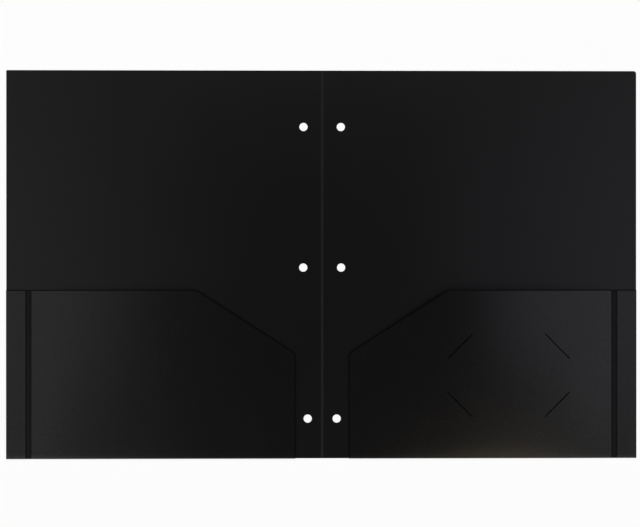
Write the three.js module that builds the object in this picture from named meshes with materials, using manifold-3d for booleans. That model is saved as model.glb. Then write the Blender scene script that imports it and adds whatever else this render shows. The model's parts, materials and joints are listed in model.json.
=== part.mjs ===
// Two-pocket folder of black polypropylene sheet, lying open with its pockets upwards.
// x runs across the folder from the spine, y from its bottom fold to its top edge, z up from its outer face.

import * as THREE from 'three';
import { mergeVertices } from 'three/addons/utils/BufferGeometryUtils.js';
import Module from 'manifold-3d';

const wasm = await Module();
wasm.setup();

// Sheet and covers, in millimetres
const SHEET = 0.5;
const COVER_WIDTH = 241.3;
const FOLDER_HEIGHT = 297.2;
const CUT_EDGE_SETBACK = 0.25; // the unfolded bottom edge by the spine stands this far inside the bottom fold

// Crease at the spine, pressed into the inner face
const CREASE_WEB = 0.25;
const CREASE_FLOOR_WIDTH = 0.6;
const CREASE_MOUTH_WIDTH = 1.4;

// Ring holes, each given by its distance from the spine and its height over the bottom edge
const RING_HOLE_DIAMETER = 6.35;
const TOP_HOLE = { fromSpine: 14.3, height: 254.0 };
const MIDDLE_HOLE = { fromSpine: 14.5, height: 146.3 };
const LOWER_HOLE = { fromSpine: 11.1, height: 30.6 };
const RING_HOLES = [TOP_HOLE, MIDDLE_HOLE, LOWER_HOLE];

// Pocket flap, folded up from the bottom edge
const POCKET_DEPTH = 129.2;
const FLAP_FROM_SPINE = 20.5;
const SLANT_TOP_FROM_SPINE = 96.3;
const SLANT_FOOT_HEIGHT = 80.6;
const SLANT_CORNER_RADIUS = 2.5;
const FOLD_GAP = 0.6; // clear space inside the bottom fold
const CREST_SHARE = 0.64; // how far across the pocket its mouth stands highest, from the spine side

// Weld bar that holds the flap to the cover, and the loose strip outside it
const WELD_FROM_EDGE = 14.9;
const WELD_WIDTH = 4.3;
const WELD_GAP = 0.05;
const STRIP_GAP = 0.35;
const WELD_INNER_BLEND = 12;
const WELD_OUTER_BLEND = 2.2;

// Four slits for a card, at 45 degrees round the card's corners
const CARD_FROM_SPINE = 142.6;
const CARD_HEIGHT = 63.9;
const SLIT_HALF_SPACING_X = 37.4;
const SLIT_HALF_SPACING_Y = 22.2;
const SLIT_LENGTH = 26.8;
const SLIT_WIDTH = 0.5;

// What differs between the two covers
const FRONT = { name: 'front_cover', cornerRadius: 0.5, bulge: 4.6, cardSlits: false };
const BACK = { name: 'back_cover', cornerRadius: 2.0, bulge: 5.2, cardSlits: true };

// Mesh fineness
const HOLE_STEPS = 28;
const CORNER_STEPS = 6;
const FOLD_STEPS = 6;
const FLAP_ROWS = 12;
const CUTTER_REACH = 5; // how far a cutting solid runs past what it cuts
const SEAM_OVERLAP = 2; // how far the flap's blank runs back into its cover

// Places worked out from the sizes above
const FOLD_Y = -FOLDER_HEIGHT / 2;
const TOP_Y = FOLDER_HEIGHT / 2;
const CUT_EDGE_Y = FOLD_Y + CUT_EDGE_SETBACK;
const MOUTH_Y = FOLD_Y + POCKET_DEPTH;
const SEAM_Y = FOLD_Y + FOLD_GAP / 2 + SHEET;
const WELD_OUTER = COVER_WIDTH - WELD_FROM_EDGE;
const WELD_INNER = WELD_OUTER - WELD_WIDTH;

const blackPoly = new THREE.MeshStandardMaterial({ color: 0x19181a, roughness: 0.62, metalness: 0 });

function toSolid(geometry) {
  const bare = geometry.clone();
  bare.deleteAttribute('normal');
  bare.deleteAttribute('uv');
  const merged = mergeVertices(bare, 1e-5);
  return new wasm.Manifold(new wasm.Mesh({
    numProp: 3,
    vertProperties: new Float32Array(merged.attributes.position.array),
    triVerts: new Uint32Array(merged.index.array),
  }));
}

function toGeometry(solid) {
  const mesh = solid.getMesh();
  const geometry = new THREE.BufferGeometry();
  geometry.setAttribute('position', new THREE.BufferAttribute(new Float32Array(mesh.vertProperties), 3));
  geometry.setIndex(new THREE.BufferAttribute(new Uint32Array(mesh.triVerts), 1));
  return geometry;
}

// The same shape on the other side of the spine, with its faces still pointing out
function mirrored(geometry) {
  const copy = geometry.clone().scale(-1, 1, 1);
  const index = copy.index.array;
  for (let i = 0; i < index.length; i += 3) {
    [index[i], index[i + 1]] = [index[i + 1], index[i]];
  }
  return copy;
}

function prism(shape, bottom, top, steps = CORNER_STEPS) {
  const options = { depth: top - bottom, bevelEnabled: false, curveSegments: steps };
  return new THREE.ExtrudeGeometry(shape, options).translate(0, 0, bottom);
}

// Rounds the corner at `corner`, between the line from `before` and the line to `after`
function roundCorner(shape, before, corner, after, radius) {
  const toBefore = new THREE.Vector2(...before).sub(new THREE.Vector2(...corner)).normalize();
  const toAfter = new THREE.Vector2(...after).sub(new THREE.Vector2(...corner)).normalize();
  const halfAngle = Math.acos(toBefore.dot(toAfter)) / 2;
  const setback = radius / Math.tan(halfAngle);
  const start = new THREE.Vector2(...corner).addScaledVector(toBefore, setback);
  const end = new THREE.Vector2(...corner).addScaledVector(toAfter, setback);
  shape.lineTo(start.x, start.y);
  shape.quadraticCurveTo(corner[0], corner[1], end.x, end.y);
}

function panelShape(cover) {
  const shape = new THREE.Shape();
  shape.moveTo(0, CUT_EDGE_Y);
  shape.lineTo(FLAP_FROM_SPINE, CUT_EDGE_Y);
  shape.lineTo(FLAP_FROM_SPINE, SEAM_Y);
  shape.lineTo(COVER_WIDTH, SEAM_Y);
  shape.lineTo(COVER_WIDTH, TOP_Y - cover.cornerRadius);
  shape.absarc(COVER_WIDTH - cover.cornerRadius, TOP_Y - cover.cornerRadius, cover.cornerRadius, 0, Math.PI / 2);
  shape.lineTo(0, TOP_Y);
  shape.closePath();
  return shape;
}

function ringHoleCutters() {
  return RING_HOLES.map(({ fromSpine, height }) => {
    const circle = new THREE.Shape();
    circle.absarc(fromSpine, FOLD_Y + height, RING_HOLE_DIAMETER / 2, 0, 2 * Math.PI);
    return prism(circle, -CUTTER_REACH, SHEET + CUTTER_REACH, HOLE_STEPS / 2);
  });
}

// Half of the crease's groove: its floor leaves the web, and its side slopes up to the inner face
function creaseCutter() {
  const slope = (CREASE_MOUTH_WIDTH - CREASE_FLOOR_WIDTH) / 2 / (SHEET - CREASE_WEB);
  const section = new THREE.Shape();
  section.moveTo(-CUTTER_REACH, CREASE_WEB);
  section.lineTo(CREASE_FLOOR_WIDTH / 2, CREASE_WEB);
  section.lineTo(CREASE_MOUTH_WIDTH / 2 + slope * CUTTER_REACH, SHEET + CUTTER_REACH);
  section.lineTo(-CUTTER_REACH, SHEET + CUTTER_REACH);
  section.closePath();
  const length = FOLDER_HEIGHT + 2 * CUTTER_REACH;
  return prism(section, -length / 2, length / 2).rotateX(Math.PI / 2);
}

// How far across the pocket the sheet stands up, from 0 at the flap's inner edge and the weld to 1 at the crest
function crossRise(fromSpine) {
  const share = THREE.MathUtils.clamp((fromSpine - FLAP_FROM_SPINE) / (WELD_INNER - FLAP_FROM_SPINE), 0, 1);
  const skew = Math.log(0.5) / Math.log(CREST_SHARE);
  return Math.sin(Math.PI * share ** skew);
}

// The clear space between cover and flap, at a distance from the spine and a share of the pocket's depth
function pocketGap(fromSpine, depthShare, bulge) {
  if (fromSpine > WELD_OUTER) {
    const loose = THREE.MathUtils.smoothstep(fromSpine, WELD_OUTER, WELD_OUTER + WELD_OUTER_BLEND);
    return WELD_GAP + (STRIP_GAP - WELD_GAP) * loose;
  }
  const free = 1 - THREE.MathUtils.smoothstep(fromSpine, WELD_INNER - WELD_INNER_BLEND, WELD_INNER);
  const rise = bulge * crossRise(fromSpine) * (1 - (1 - depthShare) ** 2);
  return WELD_GAP + (FOLD_GAP - WELD_GAP + rise) * free;
}

function evenSteps(from, to, steps) {
  return Array.from({ length: steps }, (_, i) => from + ((to - from) * i) / steps);
}

// Where the flap's mesh has its columns: close together where it bends down to the weld
function flapColumns() {
  return [
    ...evenSteps(FLAP_FROM_SPINE - SEAM_OVERLAP, WELD_INNER - WELD_INNER_BLEND, 18),
    ...evenSteps(WELD_INNER - WELD_INNER_BLEND, WELD_INNER, 6),
    ...evenSteps(WELD_INNER, WELD_OUTER, 1),
    ...evenSteps(WELD_OUTER, WELD_OUTER + WELD_OUTER_BLEND, 3),
    WELD_OUTER + WELD_OUTER_BLEND,
    COVER_WIDTH,
  ];
}

// One point of the flap: row 0 lies in the cover, the next rows go round the bottom fold, the rest rise to the mouth
function flapPoint(fromSpine, row, outside, bulge) {
  const foldGap = pocketGap(fromSpine, 0, bulge);
  const foldCentreY = FOLD_Y + foldGap / 2 + SHEET;
  if (row === 0) {
    return [fromSpine, SEAM_Y + SEAM_OVERLAP, outside ? 0 : SHEET];
  }
  if (row <= FOLD_STEPS + 1) {
    const turn = (Math.PI * (row - 1)) / FOLD_STEPS;
    const radius = foldGap / 2 + (outside ? SHEET : 0);
    return [fromSpine, foldCentreY - radius * Math.sin(turn), SHEET + foldGap / 2 - radius * Math.cos(turn)];
  }
  const share = (row - FOLD_STEPS - 1) / FLAP_ROWS;
  const y = foldCentreY + (MOUTH_Y + SEAM_OVERLAP - foldCentreY) * share;
  const depthShare = Math.min((y - foldCentreY) / (MOUTH_Y - foldCentreY), 1);
  return [fromSpine, y, SHEET + pocketGap(fromSpine, depthShare, bulge) + (outside ? SHEET : 0)];
}

// The flap's blank: a slab whose columns run across the pocket and whose rows follow the sheet round the fold
function flapBlank(bulge) {
  const columns = flapColumns();
  const lastColumn = columns.length - 1;
  const lastRow = FOLD_STEPS + 1 + FLAP_ROWS;
  const slab = new THREE.BoxGeometry(lastColumn, lastRow, 1, lastColumn, lastRow, 1);
  const position = slab.attributes.position;
  for (let i = 0; i < position.count; i++) {
    const column = Math.round(position.getX(i) + lastColumn / 2);
    const row = Math.round(position.getY(i) + lastRow / 2);
    position.setXYZ(i, ...flapPoint(columns[column], row, position.getZ(i) > 0, bulge));
  }
  return slab;
}

// The flap's outline seen from above, with its slanted corner by the spine
function flapOutline() {
  const low = FOLD_Y - CUTTER_REACH;
  const far = COVER_WIDTH + CUTTER_REACH;
  const foot = [FLAP_FROM_SPINE, FOLD_Y + SLANT_FOOT_HEIGHT];
  const head = [SLANT_TOP_FROM_SPINE, MOUTH_Y];
  const shape = new THREE.Shape();
  shape.moveTo(FLAP_FROM_SPINE, low);
  shape.lineTo(far, low);
  shape.lineTo(far, MOUTH_Y);
  roundCorner(shape, [far, MOUTH_Y], head, foot, SLANT_CORNER_RADIUS);
  roundCorner(shape, head, foot, [FLAP_FROM_SPINE, low], SLANT_CORNER_RADIUS);
  shape.closePath();
  return shape;
}

function cardSlitCutters() {
  const cutters = [];
  for (const across of [-1, 1]) {
    for (const up of [-1, 1]) {
      const slit = new THREE.BoxGeometry(SLIT_LENGTH, SLIT_WIDTH, 2 * CUTTER_REACH);
      slit.rotateZ((-across * up * Math.PI) / 4);
      const x = CARD_FROM_SPINE + across * SLIT_HALF_SPACING_X;
      const y = FOLD_Y + CARD_HEIGHT + up * SLIT_HALF_SPACING_Y;
      cutters.push(slit.translate(x, y, SHEET + FOLD_GAP + CUTTER_REACH));
    }
  }
  return cutters;
}

// The bar of melted sheet that joins the flap to the cover
function weldBar() {
  const length = MOUTH_Y - SEAM_Y;
  const bar = new THREE.BoxGeometry(WELD_WIDTH, length, SHEET + WELD_GAP);
  return bar.translate((WELD_INNER + WELD_OUTER) / 2, SEAM_Y + length / 2, SHEET + WELD_GAP / 2);
}

function coverSolid(cover) {
  let flap = toSolid(flapBlank(cover.bulge)).intersect(toSolid(prism(flapOutline(), -CUTTER_REACH, 4 * CUTTER_REACH)));
  if (cover.cardSlits) {
    for (const cutter of cardSlitCutters()) {
      flap = flap.subtract(toSolid(cutter));
    }
  }
  let body = toSolid(prism(panelShape(cover), 0, SHEET)).add(flap).add(toSolid(weldBar()));
  for (const cutter of [...ringHoleCutters(), creaseCutter()]) {
    body = body.subtract(toSolid(cutter));
  }
  return toGeometry(body);
}

function coverMesh(cover, onTheLeft) {
  const geometry = coverSolid(cover);
  const mesh = new THREE.Mesh(onTheLeft ? mirrored(geometry) : geometry, blackPoly.clone());
  mesh.name = cover.name;
  return mesh;
}

const folder = new THREE.Group();
folder.add(coverMesh(FRONT, true), coverMesh(BACK, false));

export default folder;
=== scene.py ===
"""Looks of the two-pocket folder: one die-cut sheet of black polypropylene, folded, creased and welded.

The sheet is modelled as it is made. A flat blank is cut out and given its thickness, its edges are
eased, a narrow band along them on both faces gets a dark finish as painted shade, and the holes and slits are
scored and punched.
Then it is creased at the spine, its flaps are folded up into pockets, and the flaps are welded near
the outer edges. Work is done in millimetres and brought to metres at the end.
"""

import json
import logging
import math
from contextlib import contextmanager
from dataclasses import dataclass, field
from enum import Enum
from typing import Callable, Iterator

import bpy
import numpy as np
from mathutils import Euler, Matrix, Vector


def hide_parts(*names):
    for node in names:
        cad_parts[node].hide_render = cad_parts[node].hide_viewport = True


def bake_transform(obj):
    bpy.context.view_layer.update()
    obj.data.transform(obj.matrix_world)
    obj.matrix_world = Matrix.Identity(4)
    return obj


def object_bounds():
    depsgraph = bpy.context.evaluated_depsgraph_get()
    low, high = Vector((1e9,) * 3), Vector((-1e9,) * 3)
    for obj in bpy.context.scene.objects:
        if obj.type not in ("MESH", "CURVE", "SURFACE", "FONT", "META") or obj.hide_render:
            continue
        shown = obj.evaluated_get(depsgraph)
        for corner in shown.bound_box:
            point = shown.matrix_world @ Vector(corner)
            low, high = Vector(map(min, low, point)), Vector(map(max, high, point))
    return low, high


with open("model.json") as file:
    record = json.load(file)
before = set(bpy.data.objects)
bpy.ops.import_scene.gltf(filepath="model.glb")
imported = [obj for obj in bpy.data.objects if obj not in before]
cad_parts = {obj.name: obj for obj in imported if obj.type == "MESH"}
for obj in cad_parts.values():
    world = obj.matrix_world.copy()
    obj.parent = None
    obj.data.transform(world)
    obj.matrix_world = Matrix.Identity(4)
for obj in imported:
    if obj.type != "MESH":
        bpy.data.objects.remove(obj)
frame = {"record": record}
CAD_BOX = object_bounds()

MM = 0.001
# Two places closer than this, in millimetres, count as one
SAME_PLACE = 0.01
# Faces within this angle of each other, in degrees, count as one flat face
SAME_PLANE = 1
# A face whose normal has at least this share along z lies flat
FLAT_SHARE = 0.999
# A vertex closer than this to a cutting plane, in millimetres, counts as on it
ON_PLANE = 1e-5
LOG = logging.getLogger("folder")


class Side(Enum):
    """The two covers, by the sign of x on which each lies."""

    FRONT = -1
    BACK = 1

    @property
    def node(self) -> str:
        """The name of this cover's solid in the frame."""
        return f"{self.name.lower()}_cover"


class Zone(Enum):
    """The parts of the sheet's surface that differ in finish, in the order of the material slots."""

    INNER_FACE = 0
    OUTER_FACE = 1
    # Cut walls, eased edges and the narrow band along every edge: their dark, dull finish is partly painted
    # shade
    CUT_EDGE_AND_SHADE_BAND = 2
    WELD = 3
    CREASE = 4
    REAR_MARK = 5


class Element(Enum):
    """What is picked in edit mode, by the name of its selection mode."""

    VERTEX = "VERT"
    FACE = "FACE"


def smoothstep(low: float, high: float, value: np.ndarray) -> np.ndarray:
    """Smooth rise of value from 0 at low to 1 at high."""
    share = np.clip((value - low) / (high - low), 0, 1)
    return share * share * (3 - 2 * share)


def select_only(obj: bpy.types.Object) -> None:
    """Makes one object the selected and active one.

    Args:
        obj: the object.
    """
    bpy.ops.object.select_all(action="DESELECT")
    obj.select_set(True)
    bpy.context.view_layer.objects.active = obj


@contextmanager
def editing(obj: bpy.types.Object, element: Element = Element.FACE) -> Iterator[None]:
    """Opens obj in edit mode with nothing selected, and closes it again.

    Args:
        obj: the mesh object to work on.
        element: what is selected there.

    Returns:
        The context, inside which obj is in edit mode.
    """
    select_only(obj)
    bpy.ops.object.mode_set(mode="EDIT")
    bpy.ops.mesh.select_mode(type=element.value)
    bpy.ops.mesh.select_all(action="DESELECT")
    yield
    bpy.ops.object.mode_set(mode="OBJECT")


def pick(obj: bpy.types.Object, element: Element, test: Callable[[Vector], bool]) -> None:
    """Selects the vertices or faces of obj, open in edit mode, whose place passes a test.

    Args:
        obj: the mesh object, in edit mode.
        element: what is selected.
        test: takes a vertex's place or a face's centre.
    """
    bpy.ops.object.mode_set(mode="OBJECT")
    if element is Element.VERTEX:
        for vertex in obj.data.vertices:
            vertex.select = test(vertex.co)
    else:
        for face in obj.data.polygons:
            face.select = test(face.center)
    bpy.ops.object.mode_set(mode="EDIT")


def slice_mesh(point: tuple, normal: tuple) -> None:
    """Cuts all that is selected in edit mode along a plane, and keeps both halves."""
    bpy.ops.mesh.bisect(plane_co=point, plane_no=normal, threshold=ON_PLANE)


def apply_modifier(obj: bpy.types.Object, kind: str, **settings: object) -> None:
    """Adds one modifier to an object and applies it.

    Args:
        obj: the object.
        kind: the modifier's type.
        settings: the modifier's values, by their names.
    """
    select_only(obj)
    modifier = obj.modifiers.new(kind.lower(), kind)
    for name, value in settings.items():
        setattr(modifier, name, value)
    bpy.ops.object.modifier_apply(modifier=modifier.name)


def read_points(obj: bpy.types.Object) -> np.ndarray:
    """Reads the places of an object's vertices.

    Args:
        obj: the mesh object.

    Returns:
        An array with one row of x, y and z for each vertex.
    """
    points = np.zeros(len(obj.data.vertices) * 3)
    obj.data.vertices.foreach_get("co", points)
    return points.reshape(-1, 3)


def write_points(obj: bpy.types.Object, points: np.ndarray) -> None:
    """Puts obj's vertices at the rows of an array."""
    obj.data.vertices.foreach_set("co", points.ravel())
    obj.data.update()


@dataclass(frozen=True)
class PolyFinish:
    """Matt black polypropylene: a fine sand grain, and a broad cloudiness left by the rolls that cast it."""

    name: str
    colour: tuple[float, float, float]
    roughness: float
    grain: float
    grain_height: float
    shine: float = 0.5
    ior: float = 1.49
    grain_detail: float = 3
    grain_strength: float = 0.5
    grain_spread: float = 0.04
    grain_turn: tuple[float, float, float] = (0.55, 0.38, 0.85)
    cloud: float = 26.0
    cloud_detail: float = 2
    cloud_spread: float = 0.008
    cloud_tint: float = 0.12

    def material(self) -> bpy.types.Material:
        """Builds the node material.

        Returns:
            The material, with its grain and cloudiness on turned Object coordinates.
        """
        material = bpy.data.materials.new(self.name)
        material.use_nodes = True
        nodes, links = material.node_tree.nodes, material.node_tree.links
        shader = nodes["Principled BSDF"]
        shader.inputs["IOR"].default_value = self.ior
        shader.inputs["Specular IOR Level"].default_value = self.shine
        place = nodes.new("ShaderNodeTexCoord")
        turned = nodes.new("ShaderNodeMapping")
        turned.inputs["Rotation"].default_value = self.grain_turn
        links.new(place.outputs["Object"], turned.inputs["Vector"])
        cloud = nodes.new("ShaderNodeTexNoise")
        cloud.inputs["Scale"].default_value = self.cloud
        cloud.inputs["Detail"].default_value = self.cloud_detail
        links.new(turned.outputs["Vector"], cloud.inputs["Vector"])
        tint = nodes.new("ShaderNodeMix")
        tint.data_type = "RGBA"
        dark, light = (tuple(c * (1 + sign * self.cloud_tint) for c in self.colour) for sign in (-1, 1))
        tint.inputs["A"].default_value = (*dark, 1)
        tint.inputs["B"].default_value = (*light, 1)
        links.new(cloud.outputs["Fac"], tint.inputs["Factor"])
        links.new(tint.outputs["Result"], shader.inputs["Base Color"])
        grain = nodes.new("ShaderNodeTexNoise")
        grain.inputs["Scale"].default_value = self.grain
        grain.inputs["Detail"].default_value = self.grain_detail
        links.new(turned.outputs["Vector"], grain.inputs["Vector"])
        bump = nodes.new("ShaderNodeBump")
        bump.inputs["Distance"].default_value = self.grain_height
        bump.inputs["Strength"].default_value = self.grain_strength
        links.new(grain.outputs["Fac"], bump.inputs["Height"])
        links.new(bump.outputs["Normal"], shader.inputs["Normal"])
        spread = nodes.new("ShaderNodeMapRange")
        spread.inputs["To Min"].default_value = self.roughness - self.grain_spread
        spread.inputs["To Max"].default_value = self.roughness + self.grain_spread
        links.new(grain.outputs["Fac"], spread.inputs["Value"])
        broad = nodes.new("ShaderNodeMapRange")
        broad.inputs["To Min"].default_value = -self.cloud_spread
        broad.inputs["To Max"].default_value = self.cloud_spread
        links.new(cloud.outputs["Fac"], broad.inputs["Value"])
        both = nodes.new("ShaderNodeMath")
        links.new(spread.outputs["Result"], both.inputs[0])
        links.new(broad.outputs["Result"], both.inputs[1])
        links.new(both.outputs["Value"], shader.inputs["Roughness"])
        return material


FINISHES = {
    Zone.INNER_FACE: PolyFinish("poly_inner_face", (0.0018, 0.0012, 0.0014), 0.31, 2500, 0.00002, 0.48),
    Zone.OUTER_FACE: PolyFinish("poly_outer_face", (0.0006, 0.0003, 0.0003), 0.272, 2500, 0.00002, 0.70),
    # Dark and dull: painted shade on the faces' edge band, and it keeps the cut walls from catching
    # highlights
    Zone.CUT_EDGE_AND_SHADE_BAND: PolyFinish("poly_cut_edge_and_shade_band", (0.0008, 0.0006, 0.0006), 0.50, 3500, 0.00002, 0.06),
    Zone.WELD: PolyFinish("poly_weld", (0.0012, 0.0010, 0.0010), 0.45, 1800, 0.00004, 0.18),
    Zone.REAR_MARK: PolyFinish("poly_rear_mark", (0.0006, 0.0003, 0.0003), 0.315, 2500, 0.00002, 0.58),
    Zone.CREASE: PolyFinish("poly_crease", (0.0020, 0.0018, 0.0019), 0.50, 3000, 0.00001, 0.2),
}


@dataclass
class Crease:
    """The spine crease: a narrow groove pressed into the inner face, with a faint line on the outer one."""

    half_width: float = 0.7
    floor_half_width: float = 0.15
    line_half_width: float = 0.5
    depth: float = 0.25
    outer_depth: float = 0.06
    line_places: tuple[float, ...] = (0.0, 0.12, 0.24, 0.36, 0.5, 0.7, 0.95, 1.25, 1.6)

    def lines(self) -> list[float]:
        """The x of each line of vertices that the crease and its bend need, on both sides of it."""
        return sorted({sign * x for x in self.line_places for sign in (-1, 1)})

    def press(self, x: np.ndarray, share: np.ndarray) -> np.ndarray:
        """How far each point moves up, given its x and its share of the sheet's thickness."""
        hollow = 1 - smoothstep(self.floor_half_width, self.half_width, np.abs(x))
        return hollow * (self.outer_depth * (1 - share) - self.depth * share)


@dataclass
class WeldBar:
    """The bar near the outer edge where the flap is melted to the cover: two grooves and a low ridge."""

    inner: float
    outer: float
    depth: float = 0.2
    wall: float = 0.09
    ridge: float = 0.1
    ridge_share: float = 0.42
    ridge_width: float = 0.9
    ridge_half_steps: int = 4
    rim: float = 0.015
    rim_width: float = 1.2
    rim_steps: int = 6
    mark: float = 0.07

    def lines(self) -> list[float]:
        """Sets out the lines of vertices that the bar's section needs.

        Returns:
            Their distances from the spine.
        """
        ridge = self.inner + self.ridge_share * (self.outer - self.inner)
        half = self.ridge_half_steps
        lines = [ridge + self.ridge_width * i / (2 * half) for i in range(-half, half + 1)]
        for edge, outwards in ((self.inner, -1), (self.outer, 1)):
            lines += [edge, edge - outwards * self.wall, edge + outwards * self.wall]
            for i in range(1, self.rim_steps + 1):
                lines.append(edge + outwards * self.rim_width * i / self.rim_steps)
        return lines

    def flap_press(self, s: np.ndarray) -> np.ndarray:
        """Rise of the flap over its plain form.

        Args:
            s: distances from the spine.

        Returns:
            Heights: below 0 on the sunken bar, less so on the fine ridge along it, and above 0 on the
            rim of sheet that the press has pushed out on each side.
        """
        sunk = smoothstep(self.inner, self.inner + self.wall, s)
        sunk *= 1 - smoothstep(self.outer - self.wall, self.outer, s)
        from_ridge = np.abs(s - self.inner - self.ridge_share * (self.outer - self.inner))
        ridge = 1 - smoothstep(0, self.ridge_width / 2, from_ridge)
        past = np.where(s < self.inner, self.inner - s, s - self.outer)
        rim = np.where((past >= 0) & (past < self.rim_width), np.sin(np.pi * past / self.rim_width) ** 2, 0)
        return -self.depth * sunk + self.ridge * ridge + self.rim * rim

    def cover_mark(self, s: np.ndarray) -> np.ndarray:
        """Height of the anvil's mark on the cover's outer face, at distances s from the spine."""
        share = np.clip((s - self.inner) / (self.outer - self.inner), 0, 1)
        return self.mark * np.sin(np.pi * share) ** 0.5


@dataclass
class Pocket:
    """One cover's flap, folded up along the bottom edge and bulging a little between fold and mouth."""

    bulge: float
    crest_share: float
    roll: float
    width: float
    fold_y: float
    thickness: float
    depth: float = 129.2
    from_spine: float = 20.5
    slant_top: float = 96.3
    slant_foot: float = 80.6
    slant_radius: float = 1.6
    fold_gap: float = 0.6
    weld_gap: float = 0.05
    strip_gap: float = 0.35
    roll_length: float = 0.05
    inner_blend: float = 40.0
    outer_blend: float = 0.1
    weld_from_edge: float = 14.95
    weld_width: float = 4.45
    weld: WeldBar = field(init=False)

    def __post_init__(self) -> None:
        """Places the weld bar from the cover's outer edge."""
        outer = self.width - self.weld_from_edge
        self.weld = WeldBar(outer - self.weld_width, outer)

    @property
    def seam_y(self) -> float:
        """Where the flat cover ends and the bottom fold begins."""
        return self.fold_y + self.fold_gap / 2 + self.thickness

    @property
    def fold_length(self) -> float:
        """How much of the flat blank the bottom fold takes up."""
        return math.pi * (self.fold_gap + self.thickness) / 2

    @property
    def mouth_y(self) -> float:
        """Height of the mouth's edge on the folded pocket."""
        return self.fold_y + self.depth

    def blank_y(self, y: float) -> float:
        """Where a height on the folded flap lies on the flat blank."""
        return self.seam_y - self.fold_length - (y - self.seam_y)

    def gap(self, s: np.ndarray, depth_share: np.ndarray) -> np.ndarray:
        """Clear space between cover and flap.

        Args:
            s: distances from the spine.
            depth_share: shares of the pocket's depth, 0 at the fold and 1 at the mouth.

        Returns:
            The gap at each place, closed at the weld and small under the loose strip outside it.
        """
        share = np.clip((s - self.from_spine) / (self.weld.inner - self.from_spine), 0, 1)
        cross = np.sin(np.pi * share ** (math.log(0.5) / math.log(self.crest_share)))
        up = (1 - self.roll) * (1 - (1 - depth_share) ** 2)
        up += self.roll * (1 - np.exp(-depth_share / self.roll_length))
        rise = self.bulge * cross * up
        closing = np.clip((s - self.weld.inner + self.inner_blend) / self.inner_blend, 0, 1) ** 2
        inside = self.weld_gap + (self.fold_gap - self.weld_gap) * (1 - closing) + rise
        loose = smoothstep(self.weld.outer, self.weld.outer + self.outer_blend, s)
        return np.where(s > self.weld.outer, self.weld_gap + (self.strip_gap - self.weld_gap) * loose, inside)

    def fold(self, points: np.ndarray) -> np.ndarray:
        """Folds the part of the blank below the seam round the bottom edge and up into the pocket.

        Args:
            points: places on the flat blank, all of them on this pocket's side.

        Returns:
            The places on the folded sheet.
        """
        s, down, height = np.abs(points[:, 0]), self.seam_y - points[:, 1], points[:, 2]
        folded = points.copy()
        fold_gap = self.gap(s, np.zeros_like(s))
        centre_y = self.fold_y + fold_gap / 2 + self.thickness
        turn = np.pi * np.clip(down / self.fold_length, 0, 1)
        radius = fold_gap / 2 + self.thickness - height
        bent = (down > 0) & (down <= self.fold_length)
        folded[:, 1] = np.where(bent, centre_y - radius * np.sin(turn), folded[:, 1])
        folded[:, 2] = np.where(bent, self.thickness + fold_gap / 2 - radius * np.cos(turn), folded[:, 2])
        along = (down - self.fold_length) / (self.mouth_y - self.seam_y)
        share = np.clip(along, 0, 1)
        flat = down > self.fold_length
        y = centre_y + (self.mouth_y - centre_y) * along
        z = 2 * self.thickness + self.gap(s, share) - height + self.weld.flap_press(s)
        folded[:, 1] = np.where(flat, y, folded[:, 1])
        folded[:, 2] = np.where(flat, z, folded[:, 2])
        return folded


@dataclass
class CardSlits:
    """Four straight cuts at 45 degrees that hold the corners of a card on the right-hand pocket."""

    from_spine: float = 142.6
    height: float = 63.9
    half_spacing_x: float = 37.4
    half_spacing_y: float = 22.2
    length: float = 26.8
    width: float = 0.3
    score_width: float = 0.9


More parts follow.
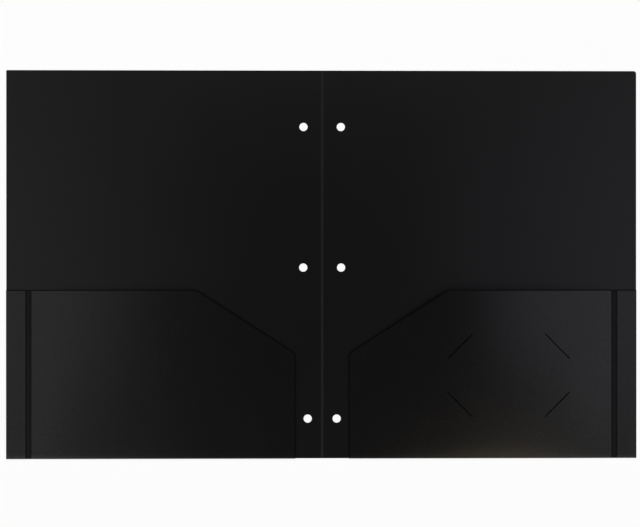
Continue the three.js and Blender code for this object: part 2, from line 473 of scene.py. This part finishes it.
@dataclass
class FolderSheet:
    """The whole folder, which is one sheet: its sizes come from the frame's solids and openings."""

    thickness: float = 0.5
    cut_edge_setback: float = 0.25
    hole_radius: float = 3.175
    hole_sides: int = 48
    corner_steps: int = 6
    edge_ease: float = 0.2
    ease_steps: int = 2
    ease_from_angle: float = 60
    edge_band: float = 0.45
    score_depth: float = 0.04
    cutter_reach: float = 1
    cell: float = 4.0
    fold_steps: int = 12
    smooth_angle: float = 21
    crease: Crease = field(default_factory=Crease)
    slits: CardSlits = field(default_factory=CardSlits)
    top_radius: dict[Side, float] = field(default_factory=lambda: {Side.FRONT: 0.8, Side.BACK: 2.0})
    bulge: dict[Side, float] = field(default_factory=lambda: {Side.FRONT: 1.4, Side.BACK: 5.18})
    crest: dict[Side, float] = field(default_factory=lambda: {Side.FRONT: 0.66, Side.BACK: 0.56})
    roll: dict[Side, float] = field(default_factory=lambda: {Side.FRONT: 0.0, Side.BACK: 0.09})
    width: float = field(init=False)
    fold_y: float = field(init=False)
    top_y: float = field(init=False)
    pockets: dict[Side, Pocket] = field(init=False)

    def __post_init__(self) -> None:
        """Reads the covers' outline from the frame and sets out the pockets."""
        low, high = CAD_BOX
        self.width = high.x / MM
        self.fold_y = low.y / MM
        self.top_y = high.y / MM
        self.pockets = {}
        for side in Side:
            self.pockets[side] = Pocket(
                self.bulge[side], self.crest[side], self.roll[side], self.width, self.fold_y, self.thickness
            )

    def hole_centres(self) -> list[tuple[float, float]]:
        """Reads the ring holes from the frame's openings.

        Returns:
            The x and y of each hole's centre, in millimetres.
        """
        centres = []
        for opening in frame["record"]["physics"]["openings"]:
            if opening["name"].endswith("ring_hole"):
                low, high = opening["box_m"]
                centres.append(tuple((a + b) / 2 / MM for a, b in zip(low[:2], high[:2])))
        return centres

    def cut_outline(self) -> bpy.types.Object:
        """Cuts the blank's outline from a plane: both covers, with the two flaps hanging below them.

        Returns:
            The flat blank, still without thickness.
        """
        pocket = self.pockets[Side.BACK]
        low = pocket.blank_y(pocket.mouth_y)
        bpy.ops.object.select_all(action="DESELECT")
        bpy.ops.mesh.primitive_plane_add(size=1, location=(0, (self.top_y + low) / 2, 0))
        blank = bpy.context.object
        blank.name = "folder_sheet"
        blank.scale = (2 * self.width, self.top_y - low, 1)
        bpy.ops.object.transform_apply(location=True, rotation=True, scale=True)
        cut_y = self.fold_y + self.cut_edge_setback
        with editing(blank):
            for x in (-pocket.from_spine, 0, pocket.from_spine):
                bpy.ops.mesh.select_all(action="SELECT")
                slice_mesh((x, 0, 0), (1, 0, 0))
            bpy.ops.mesh.select_all(action="SELECT")
            slice_mesh((0, cut_y, 0), (0, 1, 0))
            pick(blank, Element.FACE, lambda c: abs(c.x) < pocket.from_spine and c.y < cut_y)
            bpy.ops.mesh.delete(type="FACE")
            foot = Vector((pocket.from_spine, pocket.blank_y(self.fold_y + pocket.slant_foot)))
            head = Vector((pocket.slant_top, low))
            slope = (head - foot).orthogonal().normalized()
            for side in Side:
                normal = (side.value * slope.x, slope.y, 0)
                pick(blank, Element.FACE, lambda c: c.x * side.value > pocket.from_spine and c.y < cut_y)
                slice_mesh((side.value * foot.x, foot.y, 0), normal)
            pick(blank, Element.FACE, lambda c: self.in_slant_corner(Vector((abs(c.x), c.y)), foot, head))
            bpy.ops.mesh.delete(type="FACE")
            bpy.ops.mesh.select_all(action="SELECT")
            bpy.ops.mesh.dissolve_limited(angle_limit=math.radians(SAME_PLANE))
        return blank

    @staticmethod
    def in_slant_corner(place: Vector, foot: Vector, head: Vector) -> bool:
        """Tells whether a face lies in the corner that the flap's slanted edge cuts off.

        Args:
            place: the face's centre, on the right-hand side.
            foot: the slanted edge's end by the spine.
            head: its end on the mouth.

        Returns:
            True on the spine's side of the slanted edge.
        """
        along = head - foot
        across = (place - foot).cross(along)
        return across > 0 and place.y < foot.y and foot.x < place.x < head.x

    def round_corners(self, blank: bpy.types.Object) -> None:
        """Rounds the covers' top outer corners and the flaps' slanted corners.

        Args:
            blank: the flat blank.
        """
        pocket = self.pockets[Side.BACK]
        slant = [
            (pocket.from_spine, pocket.blank_y(self.fold_y + pocket.slant_foot)),
            (pocket.slant_top, pocket.blank_y(pocket.mouth_y)),
        ]
        corners = [(side.value * self.width, self.top_y, self.top_radius[side]) for side in Side]
        corners += [(side.value * x, y, pocket.slant_radius) for side in Side for x, y in slant]
        for x, y, radius in corners:
            with editing(blank, Element.VERTEX):
                pick(blank, Element.VERTEX, lambda c: (c - Vector((x, y, 0))).length < SAME_PLACE)
                bpy.ops.mesh.bevel(offset=radius, segments=self.corner_steps, affect="VERTICES")

    def paint_edge_shade_band(self, blank: bpy.types.Object) -> None:
        """Insets a narrow band along every edge, on both faces, and gives it the dark edge finish: painted
        shade for the dark line along the edges.

        Args:
            blank: the flat blank, with its thickness and its eased edges.
        """
        with editing(blank):
            pick(blank, Element.FACE, lambda c: min(c.z, self.thickness - c.z) < SAME_PLACE)
            bpy.ops.mesh.inset(thickness=self.edge_band, use_boundary=True)
            bpy.ops.object.mode_set(mode="OBJECT")
            for face in blank.data.polygons:
                # The inset band and the walls get the dark edge finish, which is painted shade on the band;
                # the rest keeps the face finish
                face.material_index = (Zone.INNER_FACE if face.select else Zone.CUT_EDGE_AND_SHADE_BAND).value
            bpy.ops.object.mode_set(mode="EDIT")

    def hole_cutters(self, radius: float, low: float, high: float) -> list[bpy.types.Object]:
        """Makes a round cutter at each ring hole.

        Args:
            radius: the cutter's radius.
            low: height of its lower end.
            high: height of its upper end.

        Returns:
            The cutters.
        """
        cutters = []
        for x, y in self.hole_centres():
            bpy.ops.object.select_all(action="DESELECT")
            bpy.ops.mesh.primitive_cylinder_add(
                vertices=self.hole_sides, radius=radius, depth=high - low, location=(x, y, (low + high) / 2)
            )
            cutters.append(bpy.context.object)
        return cutters

    def slit_cutters(self, width: float, low: float, high: float) -> list[bpy.types.Object]:
        """Makes a straight cutter at each card slit.

        Args:
            width: the cutter's width.
            low: height of its lower end.
            high: height of its upper end.

        Returns:
            The cutters.
        """
        cutters = []
        pocket = self.pockets[Side.BACK]
        for across in (-1, 1):
            for up in (-1, 1):
                x = self.slits.from_spine + across * self.slits.half_spacing_x
                y = pocket.blank_y(self.fold_y + self.slits.height + up * self.slits.half_spacing_y)
                bpy.ops.object.select_all(action="DESELECT")
                bpy.ops.mesh.primitive_cube_add(size=1, location=(x, y, (low + high) / 2))
                slit = bpy.context.object
                slit.scale = (self.slits.length, width, high - low)
                slit.rotation_euler.z = across * up * math.pi / 4
                bpy.ops.object.transform_apply(location=False, rotation=True, scale=True)
                cutters.append(slit)
        return cutters

    def punch(self, blank: bpy.types.Object) -> None:
        """Presses a shallow score round each hole and slit, and then punches the holes and slits through.

        Args:
            blank: the flat blank, already cut into cells.
        """
        top, reach, ring = self.thickness, self.cutter_reach, self.hole_radius + self.edge_band
        scores = self.hole_cutters(ring, -reach, self.score_depth)
        scores += self.hole_cutters(ring, top - self.score_depth, top + reach)
        scores += self.slit_cutters(self.slits.score_width, -reach, self.score_depth)
        self.take_away(blank, scores)
        punches = self.hole_cutters(self.hole_radius, -reach, reach)
        punches += self.slit_cutters(self.slits.width, -reach, reach)
        self.take_away(blank, punches)

    @staticmethod
    def take_away(blank: bpy.types.Object, cutters: list[bpy.types.Object]) -> None:
        """Takes the cutters' shapes out of the blank, all at once, and removes them.

        Args:
            blank: the flat blank.
            cutters: the closed shapes to take out.
        """
        select_only(cutters[0])
        for cutter in cutters:
            cutter.select_set(True)
        bpy.ops.object.join()
        tool = bpy.context.object
        apply_modifier(blank, "BOOLEAN", object=tool, operation="DIFFERENCE", solver="EXACT")
        bpy.data.objects.remove(tool)

    def grid_lines(self, blank: bpy.types.Object) -> None:
        """Cuts the blank into small cells, so that it can bend, closer together at crease, folds and welds.

        Args:
            blank: the flat blank, with its thickness.
        """
        pocket = self.pockets[Side.BACK]
        low = pocket.blank_y(pocket.mouth_y)
        across = set(self.crease.lines())
        across |= {side.value * s for side in Side for s in pocket.weld.lines()}
        steps = int(self.width / self.cell)
        across |= {sign * self.width * i / steps for i in range(1, steps) for sign in (-1, 1)}
        turns = range(self.fold_steps + 1)
        up = {pocket.seam_y - pocket.fold_length * i / self.fold_steps for i in turns}
        rows = int((self.top_y - low) / self.cell)
        up |= {low + (self.top_y - low) * i / rows for i in range(1, rows)}
        with editing(blank):
            for x in sorted(across):
                bpy.ops.mesh.select_all(action="SELECT")
                slice_mesh((x, 0, 0), (1, 0, 0))
            for y in sorted(up):
                bpy.ops.mesh.select_all(action="SELECT")
                slice_mesh((0, y, 0), (0, 1, 0))

    def mark_zones(self, blank: bpy.types.Object) -> None:
        """Gives each face its material slot by its place on the flat blank.

        Args:
            blank: the flat blank, cut, pressed and punched.
        """
        pocket = self.pockets[Side.BACK]
        for face in blank.data.polygons:
            s, y = abs(face.center.x), face.center.y
            in_weld = pocket.weld.inner < s < pocket.weld.outer
            zone = Zone.INNER_FACE if face.normal.z > 0 else Zone.OUTER_FACE
            inside = min(face.center.z, self.thickness - face.center.z) > SAME_PLACE
            # The edge band marked earlier keeps its dark finish, which is painted shade
            if inside or abs(face.normal.z) < FLAT_SHARE or face.material_index == Zone.CUT_EDGE_AND_SHADE_BAND.value:
                zone = Zone.CUT_EDGE_AND_SHADE_BAND
            elif s < self.crease.line_half_width:
                zone = Zone.CREASE
            elif in_weld and y < pocket.seam_y - pocket.fold_length:
                zone = Zone.WELD
            elif in_weld and pocket.seam_y < y < pocket.mouth_y and face.normal.z < 0:
                zone = Zone.REAR_MARK
            face.material_index = zone.value

    def form(self, blank: bpy.types.Object) -> None:
        """Creases the spine, folds the flaps up and presses the welds.

        Args:
            blank: the flat blank, which this turns into the open folder.
        """
        points = read_points(blank)
        pocket = self.pockets[Side.BACK]
        share = points[:, 2] / self.thickness
        s = np.abs(points[:, 0])
        on_flap = points[:, 1] < pocket.seam_y
        behind_flap = ~on_flap & (points[:, 1] < pocket.mouth_y)
        lift = self.crease.press(points[:, 0], share)
        lift += np.where(behind_flap, pocket.weld.cover_mark(s) * (1 - share), 0)
        for side in Side:
            mine = on_flap & (points[:, 0] * side.value > 0)
            points[mine] = self.pockets[side].fold(points[mine])
        points[:, 2] += lift
        write_points(blank, points)

    def build(self) -> bpy.types.Object:
        """Makes the whole sheet.

        Returns:
            The finished mesh object, in metres, in the frame.
        """
        sheet = self.cut_outline()
        self.round_corners(sheet)
        apply_modifier(sheet, "SOLIDIFY", thickness=self.thickness, offset=1)
        apply_modifier(
            sheet, "BEVEL", width=self.edge_ease, segments=self.ease_steps,
            limit_method="ANGLE", angle_limit=math.radians(self.ease_from_angle),
        )
        self.paint_edge_shade_band(sheet)
        self.grid_lines(sheet)
        self.punch(sheet)
        self.mark_zones(sheet)
        self.form(sheet)
        select_only(sheet)
        bpy.ops.object.shade_smooth_by_angle(angle=math.radians(self.smooth_angle))
        sheet.scale = (MM, MM, MM)
        bpy.ops.object.transform_apply(location=True, rotation=True, scale=True)
        LOG.info("%s: %d faces", sheet.name, len(sheet.data.polygons))
        return sheet

    @staticmethod
    def dress(sheet: bpy.types.Object) -> None:
        """Gives the sheet its finishes, one a slot, in the order of the zones."""
        for zone in Zone:
            sheet.data.materials.append(FINISHES[zone].material())


@dataclass(frozen=True)
class SoftBox:
    """A square area lamp that faces the folder's middle from a given direction."""

    name: str
    elevation: float
    azimuth: float
    power: float
    colour: tuple[float, float, float] = (1.0, 1.0, 1.0)
    size: float = 0.6
    distance: float = 1.5

    def hang(self) -> None:
        """Puts the lamp in the scene."""
        data = bpy.data.lights.new(self.name, "AREA")
        data.shape = "SQUARE"
        data.size = self.size
        data.energy = self.power
        data.color = self.colour
        up, round_z = math.radians(self.elevation), math.radians(self.azimuth)
        place = Vector((math.cos(up) * math.cos(round_z), math.cos(up) * math.sin(round_z), math.sin(up)))
        lamp = bpy.data.objects.new(self.name, data)
        lamp.location = place * self.distance
        lamp.rotation_euler = (-place).to_track_quat("-Z", "Y").to_euler()
        bpy.context.scene.collection.objects.link(lamp)


# Side of the large lamps that stand in a ring round the folder
LOW_SIZE = 0.9

SOFT_BOXES = (
    SoftBox("low_right", 34, 0, 2.2, (0.89, 0.93, 1.0), LOW_SIZE),
    SoftBox("low_back_right", 34, 45, 4.7, (0.97, 0.98, 1.0), LOW_SIZE),
    SoftBox("low_back", 34, 90, 5.3, size=LOW_SIZE),
    SoftBox("low_back_left", 34, 135, 5.2, size=LOW_SIZE),
    SoftBox("low_left", 34, 180, 2.4, size=LOW_SIZE),
    SoftBox("low_front_left", 34, 225, 4.7, size=LOW_SIZE),
    SoftBox("low_front", 34, 270, 4.2, (1.0, 0.98, 0.95), LOW_SIZE),
    SoftBox("low_front_right", 34, 315, 4.8, (1.0, 0.97, 0.92), LOW_SIZE),
    SoftBox("back", 50, 90, 2.5),
    SoftBox("front_left", 50, 225, 0.75),
    SoftBox("front_right", 50, 315, 0.3),
    SoftBox("high_right", 65, 0, 0.50, (0.82, 0.84, 1.0)),
    SoftBox("high_left", 65, 180, 0.43),
    SoftBox("warm_front", 55, 297, 0.20, (1.0, 0.72, 0.36), 0.4),
)


@dataclass
class Studio:
    """A white table, the lamps and the camera over the folder."""

    lens: float = 70.0
    sensor_width: float = 36
    clip: tuple[float, float] = (0.05, 20)
    camera_place: tuple[float, float, float] = (-0.013184, 0.001533, 0.953700)
    camera_turn: tuple[float, float, float] = (-0.0425, -0.6931, -0.0076)
    table_size: float = 6
    table_drop: float = 0.0002
    table_grey: float = 0.9
    table_glow: float = 0.88
    surround_level: float = 0.01

    def camera(self) -> None:
        """Places the camera as the photograph shows the folder: straight above, turned a hair."""
        data = bpy.data.cameras.new("camera")
        data.lens = self.lens
        data.sensor_width = self.sensor_width
        data.clip_start, data.clip_end = self.clip
        camera = bpy.data.objects.new("camera", data)
        camera.location = self.camera_place
        camera.rotation_euler = Euler([math.radians(a) for a in self.camera_turn], "XYZ")
        bpy.context.scene.collection.objects.link(camera)
        bpy.context.scene.camera = camera

    def table(self) -> None:
        """Lays the white table just under the folder."""
        bpy.ops.object.select_all(action="DESELECT")
        bpy.ops.mesh.primitive_plane_add(size=self.table_size, location=(0, 0, -self.table_drop))
        table = bpy.context.object
        table.name = "table"
        material = bpy.data.materials.new("white_table")
        material.use_nodes = True
        nodes, links = material.node_tree.nodes, material.node_tree.links
        nodes.clear()
        output = nodes.new("ShaderNodeOutputMaterial")
        matt = nodes.new("ShaderNodeBsdfDiffuse")
        matt.inputs["Color"].default_value = (self.table_grey, self.table_grey, self.table_grey, 1)
        glow = nodes.new("ShaderNodeEmission")
        glow.inputs["Strength"].default_value = 1.0
        share = nodes.new("ShaderNodeMath")
        share.operation = "MULTIPLY"
        share.inputs[1].default_value = self.table_glow
        path = nodes.new("ShaderNodeLightPath")
        links.new(path.outputs["Is Camera Ray"], share.inputs[0])
        mix = nodes.new("ShaderNodeMixShader")
        links.new(share.outputs[0], mix.inputs["Fac"])
        links.new(matt.outputs[0], mix.inputs[1])
        links.new(glow.outputs[0], mix.inputs[2])
        links.new(mix.outputs[0], output.inputs["Surface"])
        table.data.materials.append(material)

    def world(self) -> None:
        """Sets a dim even surround, which the camera itself sees as white."""
        world = bpy.data.worlds.new("surround")
        bpy.context.scene.world = world
        world.use_nodes = True
        nodes, links = world.node_tree.nodes, world.node_tree.links
        background = nodes["Background"]
        path = nodes.new("ShaderNodeLightPath")
        level = nodes.new("ShaderNodeMapRange")
        level.inputs["To Min"].default_value = self.surround_level
        level.inputs["To Max"].default_value = 1.0
        links.new(path.outputs["Is Camera Ray"], level.inputs["Value"])
        links.new(level.outputs["Result"], background.inputs["Strength"])
        background.inputs["Color"].default_value = (1, 1, 1, 1)

    def build(self) -> None:
        """Sets up the whole studio."""
        bpy.context.scene.view_settings.view_transform = "Standard"
        self.camera()
        self.table()
        self.world()
        for box in SOFT_BOXES:
            box.hang()
        LOG.info("studio: a camera, a table and %d lamps", len(SOFT_BOXES))


def main() -> None:
    """Builds the studio and the folder, and hides the frame's cover solids that the sheet stands in for."""
    logging.basicConfig(level=logging.INFO, format="%(name)s: %(message)s")
    Studio().build()
    folder = FolderSheet()
    sheet = folder.build()
    folder.dress(sheet)
    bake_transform(sheet)
    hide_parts(Side.FRONT.node, Side.BACK.node)


if __name__ == "__main__":
    main()
